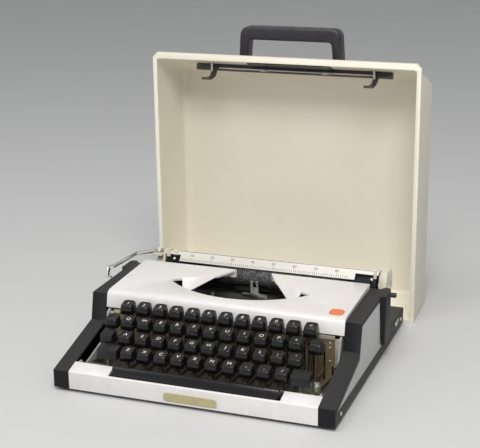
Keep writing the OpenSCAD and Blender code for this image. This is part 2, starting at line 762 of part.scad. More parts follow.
// The outline of a bent strip of thickness t, seen from above
function unit(v) = v / norm(v);
function mitre(a, b) = [-a[1] - b[1], a[0] + b[0]] / (1 + a * b);
function strip_side(route, d) = [
    for (i = [0:len(route) - 1])
        let (last = len(route) - 1,
            before = unit(route[max(i, 1)] - route[max(i, 1) - 1]),
            after = unit(route[min(i, last - 1) + 1] - route[min(i, last - 1)]))
        route[i] + mitre(before, after) * d
];
function backwards(v) = [for (i = [len(v) - 1:-1:0]) v[i]];
function strip_outline(route, t) = concat(strip_side(route, t / 2), backwards(strip_side(route, -t / 2)));
module return_lever() {
    t = 2;
    h = 3.8;
    finger_y = return_y - return_reach;
    // The hub, two bends and the finger end, seen from above
    route = [
        [return_x - 3.2, return_y - 2.6], [return_x - 21.5, return_y - 19],
        [return_x - 27, finger_y + 4], [return_x - 30.4, finger_y + 1]
    ];
    end_x = route[3][0];
    end_z = return_z - 8.2;
    color("#c9cac8") {
        difference() {
            union() {
                translate([return_x, return_y, return_z]) cylinder(h = h, r = 5.5);
                translate([0, 0, return_z]) linear_extrude(h) polygon(strip_outline(route, t));
            }
            translate([return_x, return_y, return_z - 1]) cylinder(h = h + 2, r = return_pin_r + run_fit);
        }
        along_x(end_x - 1, end_x + 1) polygon([
            [finger_y + 2, return_z + h], [finger_y - 3, return_z + h],
            [finger_y - 8, end_z], [finger_y - 3.5, end_z], [finger_y + 2, return_z]
        ]);
        block([end_x, finger_y - 8, end_z], [end_x + 5.5, finger_y - 3.5, end_z + 1.5]);
    }
}
module paper_release_lever() {
    x = end_right + end_t + 0.5;
    color("#1f1f20") {
        along_x(x, x + 1.2) {
            polygon([
                [release_y - 3, release_z], [release_y - 8, release_z + 11],
                [release_y - 2, release_z + 12], [release_y + 3, release_z]
            ]);
            translate([release_y, release_z]) circle(3);
        }
        rod(end_right + 0.3, x, release_y, release_z, bail_pin_r);
        rod(x, x + 12.4, release_y - 5, release_z + 11, 2.8);
    }
}

// A polygon's points, with each corner that has a radius rounded in n steps
function corner(a, b, c, r, n) = let (
    u = (a - b) / norm(a - b),
    v = (c - b) / norm(c - b),
    half = acos(u * v) / 2,
    centre = b + (u + v) / norm(u + v) * r / sin(half),
    p = b + u * r / tan(half) - centre,
    q = b + v * r / tan(half) - centre,
    a0 = atan2(p[1], p[0]),
    turn = (atan2(q[1], q[0]) - a0 + 540) % 360 - 180
) [for (i = [0:n]) centre + r * [cos(a0 + turn * i / n), sin(a0 + turn * i / n)]];
function rounded(pts, radii, n = 6) = [
    for (i = [0:len(pts) - 1]) for (p = radii[i] > 0
        ? corner(pts[(i + len(pts) - 1) % len(pts)], pts[i], pts[(i + 1) % len(pts)], radii[i], n)
        : [pts[i]]) p
];

// Carrying cover: the outer form, or the space inside it at a distance g, starting so far in front of the rim
module lid_form(g, before) {
    low = lid_bottom + g;
    high = lid_bottom + lid_h - g / cos(lid_angle);
    back = lid_d - g;
    side = lid_w / 2 - g;
    r = lid_back_r - g / 2;
    translate([0, lid_y, 0]) intersection() {
        along_x(-lid_w, lid_w) polygon(rounded([
            [-before, low], [-before, high + lid_slope * before],
            [back, high - lid_slope * back], [back, low + lid_draft]
        ], [0, 0, r, r]));
        linear_extrude(lid_h + 20) polygon(rounded([
            [-side, -before], [side, -before], [side - lid_draft, back], [-side + lid_draft, back]
        ], [0, 0, r, r]));
        translate([0, 0, high]) rotate([90 - lid_angle, 0, 0]) translate([0, 0, -4 * lid_d])
            linear_extrude(5 * lid_d) polygon(rounded(
                [[-side, -2 * lid_h], [side, -2 * lid_h], [side, 0], [-side, 0]], [0, 0, r, r]));
    }
}
module lid_shell() {
    rim_d = 6.3;
    inner = lid_w / 2 - lid_rim;
    rim_top = lid_bottom + lid_h + lid_rim_rise;
    color("#d5ceb6") {
        difference() {
            lid_form(0, 0);
            lid_form(lid_t, 1);
        }
        // Thick rim on both sides and over the top
        difference() {
            block([-lid_w / 2, lid_y, lid_bottom], [lid_w / 2, lid_y + rim_d, rim_top]);
            block([-inner, lid_y - 1, lid_bottom + lid_t], [inner, lid_y + rim_d + 1, rim_top - lid_top_rim]);
            both_sides() translate([lid_w / 2, lid_y - 1, rim_top])
                rotate([0, 45, 0]) cube([8, rim_d * 3, 8], center = true);
        }
        // Hinge lugs
        both_sides() along_x(lug_x0, lug_x1) difference() {
            union() {
                translate([hinge_y, hinge_z]) circle(hinge_ring_r);
                polygon([
                    [hinge_y, hinge_z - hinge_ring_r], [lid_y + 1, lid_bottom + 1],
                    [lid_y + 1, hinge_z + 2], [hinge_y, hinge_z + hinge_ring_r]
                ]);
            }
            translate([hinge_y, hinge_z]) circle(hinge_pin_r + run_fit);
        }
    }
}
handle_y = lid_y + 38.3;
handle_t = 20;
handle_bar = 15.5;
handle_leg = 10.5;
handle_lean = 3.5;
// The handle's outline over a width w and a height h: its legs lean in by handle_lean
module handle_outline(w, h, r) polygon(rounded(
    [[-w / 2, 0], [w / 2, 0], [w / 2 - handle_lean, h], [-w / 2 + handle_lean, h]], [0, 0, r, r]));
module lid_handle() {
    foot = lid_bottom + lid_h - lid_slope * 60;
    rise = handle_z - foot;
    full_w = handle_w + 2 * handle_lean;
    color("#2d2630") difference() {
        translate([0, handle_y + handle_t / 2, foot]) rotate([90, 0, 0]) linear_extrude(handle_t)
            difference() {
                handle_outline(full_w, rise, 10);
                translate([0, -1]) handle_outline(full_w - 2 * handle_leg, rise + 1 - handle_bar, 5);
            }
        // Seat on the slanting wall
        translate([0, lid_y, lid_bottom + lid_h]) rotate([-lid_angle, 0, 0])
            translate([-handle_w, 0, -80]) cube([2 * handle_w, 120, 80]);
    }
}

// Latch of the cover
hooks_x = [-95.5, 106];
latch_x = 6.5;
latch_half = 122;
latch_plate_half = 51;
latch_bar_h = 6.5;
hook_lean = 5.5;
// Height of the hooks' ends, which come just behind the front rail when the cover is shut
hook_low = hinge_y + hinge_z - rail_d - 3.2;
toe_t = 2.6;
hook_d = 21.2;
hook_top = lid_bottom + lid_h - lid_t / cos(lid_angle) - lid_slope * hook_d - 1.2;
module lid_latch() {
    // Lies under the slanting wall, just clear of it
    color("#1d1d1f") {
        translate([0, lid_y, lid_bottom + lid_h - lid_t / cos(lid_angle)]) rotate([-lid_angle, 0, 0]) {
            block([latch_x - latch_half, 20, -0.8 - latch_bar_h], [latch_x + latch_half, 28, -0.8]);
            block([latch_x - latch_plate_half, 2, -2], [latch_x + latch_plate_half, 21, -0.5]);
        }
        // Each hook leans down from the bar, runs towards the rim, and ends in a toe that points left
        for (x = hooks_x) {
            translate([x, lid_y + hook_d, 0]) rotate([90, 0, 0]) linear_extrude(6) polygon(rounded([
                [-3, hook_low], [3, hook_low], [hook_lean + 3, hook_top], [hook_lean - 3, hook_top]
            ], [0, 2.5, 0, 0]));
            block([x - 3, lid_y + 3.7, hook_low], [x + 3, lid_y + hook_d - 5, hook_low + toe_t]);
            block([x - 8, lid_y + 3.7, hook_low], [x - 2, lid_y + 6.7, hook_low + toe_t]);
        }
    }
}

at_origin() lid_shell();
at_origin() lid_handle();
at_origin() lid_latch();
at_origin() base_pan();
at_origin() rubber_feet();
at_origin() side_panel_left();
at_origin() side_panel_right();
at_origin() side_inlays();
at_origin() front_rail();
at_origin() top_cover();
at_origin() trim_plates();
at_origin() main_frame();
at_origin() key_comb();
at_origin() key_shaft();
at_origin() carriage_rail();
at_origin() type_segment();
at_origin() type_bars();
at_origin() ribbon_vibrator();
at_origin() ribbon_spool_left();
at_origin() ribbon_spool_right();
at_origin() carriage_frame();
at_origin() paper_table();
at_origin() platen();
at_origin() platen_knob();
at_origin() feed_roller();
at_origin() paper_scale();
at_origin() return_lever();
at_origin() paper_release_lever();
at_origin() space_bar();
at_origin() shift_keys();
at_origin() shift_lock();
at_origin() backspace_key();
at_origin() margin_release_key();
at_origin() figure_keys();
for (k = LETTERS) at_origin() key(k[1], k[2]);
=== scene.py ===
import math

import bmesh
import bpy
from mathutils import Matrix, Vector


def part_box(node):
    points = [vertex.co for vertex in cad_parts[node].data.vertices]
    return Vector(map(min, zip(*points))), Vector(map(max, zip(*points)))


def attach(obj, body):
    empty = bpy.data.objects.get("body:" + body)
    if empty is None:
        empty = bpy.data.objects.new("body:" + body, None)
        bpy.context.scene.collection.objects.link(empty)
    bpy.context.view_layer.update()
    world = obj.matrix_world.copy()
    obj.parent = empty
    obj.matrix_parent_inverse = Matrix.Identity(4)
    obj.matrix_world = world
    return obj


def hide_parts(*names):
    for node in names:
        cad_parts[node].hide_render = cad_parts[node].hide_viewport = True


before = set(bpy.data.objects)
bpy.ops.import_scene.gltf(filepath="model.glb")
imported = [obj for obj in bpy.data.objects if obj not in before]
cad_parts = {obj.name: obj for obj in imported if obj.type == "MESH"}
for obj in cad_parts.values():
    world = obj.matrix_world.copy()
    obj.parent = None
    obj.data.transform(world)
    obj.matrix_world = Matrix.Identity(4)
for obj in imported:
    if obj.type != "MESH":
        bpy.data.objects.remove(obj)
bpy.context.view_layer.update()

MM = 0.001
# The CAD's front rail stands this far in front of the frame's origin, in millimetres
RAIL_TO_ORIGIN = 196.05

# Key rows from the digits (0) to the bottom letters (3): place of the first key, in millimetres
KEY_PITCH = 19.05
ROW_FIRST_X = [-105.4, -96.5, -91.2, -80.3]
ROW_SIGNS = [
    ["1", "2", "3", "4", "5", "6", "7", "8", "9", "0", "-", "="],
    ["Q", "W", "E", "R", "T", "Y", "U", "I", "O", "P", "+"],
    ["A", "S", "D", "F", "G", "H", "J", "K", "L", ";", "'"],
    ["Z", "X", "C", "V", "B", "N", "M", ",", ".", "/"],
]
KEY_BASE = 15.6
KEY_TOP = 13.4
KEY_HEIGHT = 11.0
KEY_TILT = math.radians(12)
LEGEND_SIZE = 6.4
# How far a legend stands over the bottom of the dish
LEGEND_LIFT = 0.22


# Shader helpers
def new_node(tree, kind, **inputs):
    """Adds a shader node and sets its sockets or properties by name."""
    node = tree.nodes.new(kind)
    for key, value in inputs.items():
        if key in node.inputs:
            node.inputs[key].default_value = value
        else:
            setattr(node, key, value)
    return node


def noise(tree, coords, scale, detail=4.0, roughness=0.55):
    node = new_node(tree, "ShaderNodeTexNoise", Scale=scale, Detail=detail, Roughness=roughness)
    tree.links.new(coords, node.inputs["Vector"])
    return node.outputs["Fac"]


def remap(tree, value, low, high, to_low=0.0, to_high=1.0):
    node = new_node(tree, "ShaderNodeMapRange")
    node.inputs["From Min"].default_value = low
    node.inputs["From Max"].default_value = high
    node.inputs["To Min"].default_value = to_low
    node.inputs["To Max"].default_value = to_high
    tree.links.new(value, node.inputs["Value"])
    return node.outputs["Result"]


def multiply(tree, a, b):
    node = new_node(tree, "ShaderNodeMath", operation="MULTIPLY")
    tree.links.new(a, node.inputs[0])
    if isinstance(b, float):
        node.inputs[1].default_value = b
    else:
        tree.links.new(b, node.inputs[1])
    return node.outputs[0]


def mix_colour(tree, factor, a, b):
    node = new_node(tree, "ShaderNodeMix", data_type="RGBA")
    tree.links.new(factor, node.inputs["Factor"])
    colour_inputs = [s for s in node.inputs if s.type == "RGBA"]
    for socket, value in zip(colour_inputs, (a, b)):
        if isinstance(value, tuple):
            socket.default_value = (*value, 1.0)
        else:
            tree.links.new(value, socket)
    return [s for s in node.outputs if s.type == "RGBA"][0]


# Shader numbers that all surfaces share: noise scales are per metre
RUB_NOISE = 70.0
RUB_EDGE = (0.53, 0.62)
# The up-facing colour below is dust on most finishes and a painted sheen on the dark plastic and the key caps
DUST_AND_SHEEN_NOISE = 300.0
DUST_AND_SHEEN_FACING = (0.3, 1.0)
DUST_AND_SHEEN_COLOUR = (0.41, 0.39, 0.355)
STAIN_SHARE = 0.7
BUMP_STRENGTH = 0.6


def surface(name, colour, stain, rough, metallic=0.0, patch=18.0, grain=900.0, grain_depth=0.00008,
            stretch=(1.0, 1.0, 1.0), wear=None, wear_amount=0.6, dust_and_sheen=0.0, coat=0.0, specular=0.5):
    """A worn surface: patchy colour, uneven roughness, fine grain, rubbed edges, and a lighter mix on what
    faces up that is dust on most finishes and a painted sheen on the dark plastic and the key caps.
    """
    made = bpy.data.materials.new(name)
    made.use_nodes = True
    tree = made.node_tree
    shader = tree.nodes["Principled BSDF"]
    coords = new_node(tree, "ShaderNodeTexCoord").outputs["Object"]
    stretched = new_node(tree, "ShaderNodeMapping")
    stretched.inputs["Scale"].default_value = stretch
    tree.links.new(coords, stretched.inputs["Vector"])
    patches = remap(tree, noise(tree, coords, patch), 0.35, 0.7)
    result = mix_colour(tree, multiply(tree, patches, STAIN_SHARE), colour, stain)
    fine = noise(tree, stretched.outputs["Vector"], grain, 3.0)
    geometry = new_node(tree, "ShaderNodeNewGeometry")
    if wear:
        edge = remap(tree, geometry.outputs["Pointiness"], *RUB_EDGE, 0.0, wear_amount)
        rubbed = multiply(tree, edge, remap(tree, noise(tree, coords, RUB_NOISE), 0.4, 0.6))
        result = mix_colour(tree, rubbed, result, wear)
    # Lighter on what faces up: dust on most finishes; on the dark plastic and the key caps a painted sheen,
    # tops lit from above
    if dust_and_sheen:
        normal = new_node(tree, "ShaderNodeSeparateXYZ")
        tree.links.new(geometry.outputs["Normal"], normal.inputs[0])
        up = remap(tree, normal.outputs["Z"], *DUST_AND_SHEEN_FACING, 0.0, dust_and_sheen)
        dust_and_sheen_spread = remap(tree, noise(tree, coords, DUST_AND_SHEEN_NOISE, 6.0), 0.3, 0.7, 0.7, 1.0)
        result = mix_colour(tree, multiply(tree, up, dust_and_sheen_spread), result, DUST_AND_SHEEN_COLOUR)
    tree.links.new(result, shader.inputs["Base Color"])
    polish = remap(tree, noise(tree, coords, patch * 4.0, 5.0), 0.3, 0.7, *rough)
    tree.links.new(polish, shader.inputs["Roughness"])
    shader.inputs["Metallic"].default_value = metallic
    shader.inputs["Coat Weight"].default_value = coat
    shader.inputs["Specular IOR Level"].default_value = specular
    bump = new_node(tree, "ShaderNodeBump")
    bump.inputs["Strength"].default_value = BUMP_STRENGTH
    bump.inputs["Distance"].default_value = grain_depth
    tree.links.new(fine, bump.inputs["Height"])
    tree.links.new(bump.outputs["Normal"], shader.inputs["Normal"])
    return made


MATERIALS = {
    "lid_plastic": surface("lid_plastic", (0.83, 0.785, 0.675), (0.765, 0.71, 0.58), (0.42, 0.6), patch=7.0,
                           grain=1400.0, wear=(0.9, 0.87, 0.78), dust_and_sheen=0.1),
    "handle_plastic": surface("handle_plastic", (0.016, 0.012, 0.018), (0.024, 0.02, 0.026), (0.32, 0.5),
                              grain=1200.0, wear=(0.09, 0.08, 0.09), dust_and_sheen=0.06),
    "black_metal": surface("black_metal", (0.012, 0.012, 0.013), (0.022, 0.02, 0.019), (0.35, 0.55),
                           wear=(0.16, 0.15, 0.14), dust_and_sheen=0.05),
    "brown_metal": surface("brown_metal", (0.05, 0.04, 0.032), (0.032, 0.026, 0.022), (0.35, 0.55),
                           metallic=0.4, wear=(0.2, 0.17, 0.14), dust_and_sheen=0.05),
    "dark_paint": surface("dark_paint", (0.022, 0.022, 0.024), (0.036, 0.034, 0.032), (0.45, 0.7),
                          dust_and_sheen=0.25),
    "rubber": surface("rubber", (0.014, 0.014, 0.014), (0.03, 0.028, 0.026), (0.7, 0.9), dust_and_sheen=0.2),
    # On this plastic the up-facing lightening is a painted sheen: tops lighter than fronts, as if lit from
    # above
    "dark_plastic": surface("dark_plastic", (0.0125, 0.013, 0.0155), (0.014, 0.0145, 0.017), (0.42, 0.5),
                            grain=1500.0, dust_and_sheen=0.07, specular=0.15),
    "grey_plastic": surface("grey_plastic", (0.45, 0.45, 0.435), (0.41, 0.41, 0.395), (0.4, 0.55),
                            grain=1500.0, wear=(0.5, 0.5, 0.48), dust_and_sheen=0.08),
    "white_paint": surface("white_paint", (0.76, 0.735, 0.72), (0.71, 0.68, 0.66), (0.3, 0.42), patch=9.0,
                           grain=700.0, grain_depth=0.00005, wear=(0.55, 0.52, 0.5), wear_amount=0.35,
                           coat=0.15),
    "badge_orange": surface("badge_orange", (0.78, 0.17, 0.05), (0.7, 0.14, 0.045), (0.25, 0.4), coat=0.4),
    "plate_brass": surface("plate_brass", (0.5, 0.45, 0.25), (0.4, 0.35, 0.2), (0.35, 0.55), metallic=0.35,
                           patch=120.0, stretch=(1.0, 20.0, 20.0), wear=(0.65, 0.6, 0.42)),
    "grey_paint": surface("grey_paint", (0.4, 0.39, 0.37), (0.3, 0.29, 0.27), (0.4, 0.6),
                          wear=(0.52, 0.5, 0.47), dust_and_sheen=0.12),
    "khaki_steel": surface("khaki_steel", (0.5, 0.45, 0.33), (0.38, 0.33, 0.22), (0.35, 0.5), metallic=0.4,
                           stretch=(1.0, 12.0, 12.0), wear=(0.6, 0.56, 0.45)),
    "frame_steel": surface("frame_steel", (0.25, 0.235, 0.21), (0.15, 0.135, 0.11), (0.4, 0.65),
                           metallic=0.75, wear=(0.5, 0.48, 0.44), dust_and_sheen=0.2),
    "bronze_steel": surface("bronze_steel", (0.34, 0.25, 0.15), (0.25, 0.18, 0.1), (0.35, 0.55), metallic=0.5,
                            stretch=(1.0, 1.0, 12.0), wear=(0.55, 0.42, 0.25)),
    "bright_steel": surface("bright_steel", (0.62, 0.6, 0.56), (0.46, 0.43, 0.38), (0.28, 0.45), metallic=0.8,
                            stretch=(12.0, 1.0, 1.0), dust_and_sheen=0.1),
    "lever_steel": surface("lever_steel", (0.24, 0.215, 0.14), (0.16, 0.14, 0.085), (0.38, 0.6),
                           metallic=0.7, stretch=(1.0, 1.0, 8.0), dust_and_sheen=0.1),
    "spool": surface("spool", (0.5, 0.48, 0.43), (0.4, 0.38, 0.33), (0.35, 0.5), metallic=0.4, dust_and_sheen=0.2),
    "platen_rubber": surface("platen_rubber", (0.006, 0.006, 0.0065), (0.01, 0.0095, 0.009), (0.55, 0.7),
                             grain=1800.0, dust_and_sheen=0.012, specular=0.2),
    "cream_plastic": surface("cream_plastic", (0.73, 0.69, 0.57), (0.62, 0.57, 0.44), (0.3, 0.45),
                             wear=(0.5, 0.46, 0.36), dust_and_sheen=0.08),
    "scale_enamel": surface("scale_enamel", (0.68, 0.655, 0.6), (0.62, 0.595, 0.53), (0.25, 0.4), patch=30.0,
                            wear=(0.6, 0.57, 0.5), coat=0.2),
    "knob_plastic": surface("knob_plastic", (0.42, 0.4, 0.28), (0.32, 0.3, 0.2), (0.25, 0.42), patch=40.0,
                            wear=(0.5, 0.48, 0.36), coat=0.2),
    "chrome": surface("chrome", (0.72, 0.72, 0.71), (0.56, 0.55, 0.53), (0.12, 0.3), metallic=1.0,
                      grain_depth=0.00003),
    "black_plastic": surface("black_plastic", (0.012, 0.012, 0.012), (0.02, 0.02, 0.02), (0.35, 0.5),
                             wear=(0.06, 0.06, 0.06)),
    # On the key caps the up-facing lightening is a painted sheen: tops lighter than fronts, as if lit from
    # above
    "key_plastic": surface("key_plastic", (0.0065, 0.0065, 0.007), (0.01, 0.0095, 0.0095), (0.2, 0.32),
                           patch=60.0, grain=1500.0, grain_depth=0.00003, wear=(0.03, 0.03, 0.03),
                           dust_and_sheen=0.02, coat=0.1, specular=0.4),
    "legend_white": surface("legend_white", (0.85, 0.84, 0.81), (0.7, 0.68, 0.63), (0.4, 0.55),
                            patch=200.0),
    "print_black": surface("print_black", (0.02, 0.02, 0.02), (0.06, 0.055, 0.05), (0.45, 0.6),
                           patch=200.0),
}


# Band of painted reflection on the platen, along its axis and in metres, and the distance over which it fades
REFLECTION_START = -0.062
REFLECTION_END = 0.11
REFLECTION_FADE = 0.02
REFLECTION_NOISE = 420.0
REFLECTION_GREY = (0.21, 0.21, 0.22)


def paint_reflection_band(material):
    """A painted reflection: mottled grey on the rubber where the type strikes."""
    tree = material.node_tree
    base = tree.nodes["Principled BSDF"].inputs["Base Color"]
    coords = new_node(tree, "ShaderNodeTexCoord").outputs["Object"]
    along = new_node(tree, "ShaderNodeSeparateXYZ")
    tree.links.new(coords, along.inputs[0])
    rising = remap(tree, along.outputs["X"], REFLECTION_START, REFLECTION_START + REFLECTION_FADE)
    falling = remap(tree, along.outputs["X"], REFLECTION_END - REFLECTION_FADE, REFLECTION_END, 1.0, 0.0)
    in_band = multiply(tree, rising, falling)
    mottled = remap(tree, noise(tree, coords, REFLECTION_NOISE, 3.0, 0.7), 0.36, 0.66, 0.1, 1.0)
    plain = base.links[0].from_socket
    # Mix in the mottled grey of the painted reflection
    reflected = mix_colour(tree, multiply(tree, in_band, mottled), plain, REFLECTION_GREY)
    tree.links.new(reflected, base)


# The platen rubber gets a band of painted reflection
paint_reflection_band(MATERIALS["platen_rubber"])


# Meshes
def piece(name, mesh, body, finish, smooth=True):
    """Makes a mesh an object with one material that moves with a body."""
    made = bpy.data.objects.new(name, mesh)
    bpy.context.collection.objects.link(made)
    mesh.materials.append(MATERIALS[finish])
    for face in mesh.polygons:
        face.use_smooth = smooth
    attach(made, body)
    return made


def mesh_from(build):
    """Runs build on an empty bmesh and returns the finished mesh."""
    bm = bmesh.new()
    build(bm)
    bmesh.ops.recalc_face_normals(bm, faces=bm.faces)
    mesh = bpy.data.meshes.new("mesh")
    bm.to_mesh(mesh)
    bm.free()
    return mesh


def skin(bm, rings):
    """Joins rings of points, each with as many points, into a skin with closed ends."""
    made = [[bm.verts.new(p) for p in ring] for ring in rings]
    count = len(made[0])
    for low, high in zip(made, made[1:]):
        for i in range(count):
            j = (i + 1) % count
            bm.faces.new((low[i], low[j], high[j], high[i]))
    bm.faces.new(list(reversed(made[0])))
    bm.faces.new(made[-1])


def lathe(bm, place, axis, profile, steps=24):
    """Turns a profile of (distance along the axis, radius) about an axis through place."""
    along = Vector(axis).normalized()
    across = along.orthogonal().normalized()
    up = along.cross(across)
    turns = [2 * math.pi * i / steps for i in range(steps)]
    spokes = [across * math.cos(a) + up * math.sin(a) for a in turns]
    skin(bm, [[Vector(place) + along * d * MM + spoke * r * MM for spoke in spokes] for d, r in profile])


def text_mesh(words, size):
    """Plain text as a flat mesh in the XY plane, centred on the origin, size in millimetres."""
    curve = bpy.data.curves.new("words", "FONT")
    curve.body = words
    curve.size = size * MM
    curve.align_x = "CENTER"
    curve.align_y = "CENTER"
    holder = bpy.data.objects.new("words", curve)
    bpy.context.collection.objects.link(holder)
    graph = bpy.context.evaluated_depsgraph_get()
    mesh = bpy.data.meshes.new_from_object(holder.evaluated_get(graph))
    bpy.data.objects.remove(holder)
    bpy.data.curves.remove(curve)
    return mesh


# Key caps: a rounded, tapered block with a shallow dish in its sloping top
CAP_STEPS = 32
TOP_SLOPE = math.tan(KEY_TILT)
# Share of the full slope that the rim and the dish have
RIM_SLOPE = 0.95
DISH_DEPTH = 0.5
DISH_WIDTH = KEY_TOP - 3.6
DISH_HEIGHT = 0.985 * KEY_HEIGHT
DISH_POWER = 2.4
# Profile of a cap: share of its height, width there, and how square it is
CAP_PROFILE = [
    (0.0, KEY_BASE, 5.0), (0.5, KEY_BASE - 0.7, 5.0), (0.86, KEY_TOP + 0.2, 5.0), (0.95, KEY_TOP - 0.2, 4.5),
    (0.985, KEY_TOP - 1.0, 4.0), (1.0, KEY_TOP - 2.2, 3.5), (0.985, DISH_WIDTH, 3.0),
]


def rounded_square(half_x, half_y, power):
    """Points of a square with rounded corners, as a superellipse."""
    points = []
    for i in range(CAP_STEPS):
        a = 2 * math.pi * (i + 0.5) / CAP_STEPS
        c, s = math.cos(a), math.sin(a)
        x = half_x * math.copysign(abs(c) ** (2 / power), c)
        y = half_y * math.copysign(abs(s) ** (2 / power), s)
        points.append((x, y))
    return points


def cap_rings(x, y, z):
    """Rings of a key cap from its base, over its rounded edge and down into the dish."""
    rings = []
    for level, size, power in CAP_PROFILE:
        ring = rounded_square(size / 2, size / 2, power)
        slope = min(level, RIM_SLOPE) * TOP_SLOPE
        rings.append([Vector((x + px, y + py, z + level * KEY_HEIGHT + py * slope)) for px, py in ring])
    for share in (0.66, 0.33):
        ring = rounded_square(DISH_WIDTH / 2 * share, DISH_WIDTH / 2 * share, DISH_POWER)
        floor_z = z + DISH_HEIGHT - DISH_DEPTH * (1 - share * share)
        rings.append([Vector((x + px, y + py, floor_z + py * RIM_SLOPE * TOP_SLOPE)) for px, py in ring])
    return [[p * MM for p in ring] for ring in rings]


# How much higher a cap's rear edge is than its middle
TOP_LEAN = KEY_TOP / 2 * TOP_SLOPE


def cap_place(node):
    """Where a key cap stands, from its CAD node: middle of the base, in millimetres."""
    low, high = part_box(node)
    return ((low.x + high.x) / 2 / MM, low.y / MM + KEY_BASE / 2, high.z / MM - KEY_HEIGHT - TOP_LEAN)


def legend(bm, words, x, y, z):
    """Adds a sign lying in the dish of the cap at x, y, z."""
    flat = text_mesh(words, LEGEND_SIZE)
    lift = DISH_HEIGHT - DISH_DEPTH + LEGEND_LIFT
    before = len(bm.verts)
    bm.from_mesh(flat)
    bm.verts.ensure_lookup_table()
    for vertex in bm.verts[before:]:
        px, py = vertex.co.x / MM, vertex.co.y / MM
        vertex.co = Vector((x + px, y + py, z + lift + py * RIM_SLOPE * TOP_SLOPE)) * MM
    bpy.data.meshes.remove(flat)


# Steel blade of a key, in the CAD's sizes
shaft_low, shaft_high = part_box("key_shaft")
SHAFT_Y = (shaft_low.y + shaft_high.y) / 2 / MM
SHAFT_Z = (shaft_low.z + shaft_high.z) / 2 / MM
BLADE_HALF_T = 0.6
BLADE_FRONT_Z = (18.0, 23.1)
BLADE_HALF_H = 2.5
TAIL_REACH = 4.0
TAIL_HALF_H = 1.5
STEM_HALF_W = 2.5
STEM_SINK = 0.5


def lever_blade(bm, x, y, z):
    """Adds a key's steel blade and its stem, which ends just inside the cap."""
    low_z, high_z = BLADE_FRONT_Z
    side = [
        (y - STEM_HALF_W, low_z), (SHAFT_Y, SHAFT_Z - BLADE_HALF_H),
        (SHAFT_Y + TAIL_REACH, SHAFT_Z - TAIL_HALF_H), (SHAFT_Y + TAIL_REACH, SHAFT_Z + TAIL_HALF_H),
        (SHAFT_Y, SHAFT_Z + BLADE_HALF_H), (y + STEM_HALF_W, high_z),
        (y + STEM_HALF_W, z + STEM_SINK), (y - STEM_HALF_W, z + STEM_SINK),
    ]
    skin(bm, [[Vector((x + s, py, pz)) * MM for py, pz in side] for s in (-BLADE_HALF_T, BLADE_HALF_T)])


def build_key(node, body, sign=None):
    """One key: its cap, its blade and, where it has one, its sign."""
    place = cap_place(node)
    cap_mesh = mesh_from(lambda bm: skin(bm, cap_rings(*place)))
    blade_mesh = mesh_from(lambda bm: lever_blade(bm, *place))
    cap = piece(node + "_cap", cap_mesh, body, "key_plastic")
    piece(node + "_blade", blade_mesh, body, "lever_steel", smooth=False)
    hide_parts(node)
    if sign:
        sign_mesh = mesh_from(lambda bm: legend(bm, sign, *place))
        piece(node + "_sign", sign_mesh, body, "legend_white", smooth=False)


# The keys of the shared CAD node, as (row, place in the row): all digits, and the signs at the right
FIGURE_SPOTS = [(0, i) for i in range(12)] + [(1, 10), (2, 9), (2, 10), (3, 7), (3, 8), (3, 9)]
# Distance of the digit row behind the row of the letter Q
DIGIT_ROW_BEHIND = 18.9


def build_figure_keys():
    """The digit and sign keys, which share one CAD node."""
    samples = {1: cap_place("key_q"), 2: cap_place("key_a"), 3: cap_place("key_z")}
    low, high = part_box("figure_keys")
    samples[0] = (0.0, samples[1][1] + DIGIT_ROW_BEHIND, high.z / MM - KEY_HEIGHT - TOP_LEAN)
    places = []
    for row, i in FIGURE_SPOTS:
        x = ROW_FIRST_X[row] + KEY_PITCH * i
        places.append((x, samples[row][1], samples[row][2], ROW_SIGNS[row][i]))

    def caps(bm):
        for x, y, z, sign in places:
            skin(bm, cap_rings(x, y, z))

    def blades(bm):
        for x, y, z, sign in places:
            lever_blade(bm, x, y, z)

    def signs(bm):
        for x, y, z, sign in places:
            legend(bm, sign, x, y, z)

    cap = piece("figure_key_caps", mesh_from(caps), "figure_keys", "key_plastic")
    piece("figure_key_blades", mesh_from(blades), "figure_keys", "lever_steel", smooth=False)
    piece("figure_key_signs", mesh_from(signs), "figure_keys", "legend_white", smooth=False)
    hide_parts("figure_keys")


for row in (1, 2, 3):
    for sign in ROW_SIGNS[row]:
        if sign.isalpha():
            build_key("key_" + sign.lower(), "key_" + sign.lower(), sign)
build_key("backspace_key", "backspace")
build_key("margin_release_key", "margin_release")
build_figure_keys()


# CAD nodes: finish, and width in millimetres of the small bevel that rounds the edges
FINISHES = {
    "lid_shell": ("lid_plastic", 1.2),
    "lid_handle": ("handle_plastic", 2.2),
    "lid_latch": ("black_metal", 0.4),
    "base_pan": ("dark_paint", 0.4),
    "rubber_feet": ("rubber", 0.6),
    "side_panel_left": ("dark_plastic", 1.0),
    "side_panel_right": ("dark_plastic", 1.0),
    "side_inlays": ("grey_plastic", 0.4),
    "front_rail": ("white_paint", 0.7),
    "top_cover": ("white_paint", 0.8),
    "main_frame": ("frame_steel", 0.3),
    "key_comb": ("bronze_steel", 0.0),
    "key_shaft": ("bright_steel", 0.0),
    "carriage_rail": ("bright_steel", 0.4),
    "type_segment": ("frame_steel", 0.0),
    "type_bars": ("bright_steel", 0.0),
    "ribbon_vibrator": ("chrome", 0.2),
    "ribbon_spool_left": ("spool", 0.2),
    "ribbon_spool_right": ("spool", 0.2),
    "carriage_frame": ("frame_steel", 0.3),
    "paper_table": ("black_metal", 0.2),
    "platen": ("platen_rubber", 0.5),
    "platen_knob": ("knob_plastic", 0.6),
    "feed_roller": ("rubber", 0.4),
    "paper_scale": ("scale_enamel", 0.3),
    "return_lever": ("chrome", 0.4),
    "paper_release_lever": ("black_plastic", 0.3),
    "space_bar": ("key_plastic", 0.7),
    "shift_keys": ("key_plastic", 0.8),
    "shift_lock": ("key_plastic", 0.6),
    "trim_plates": ("badge_orange", 0.25),
}


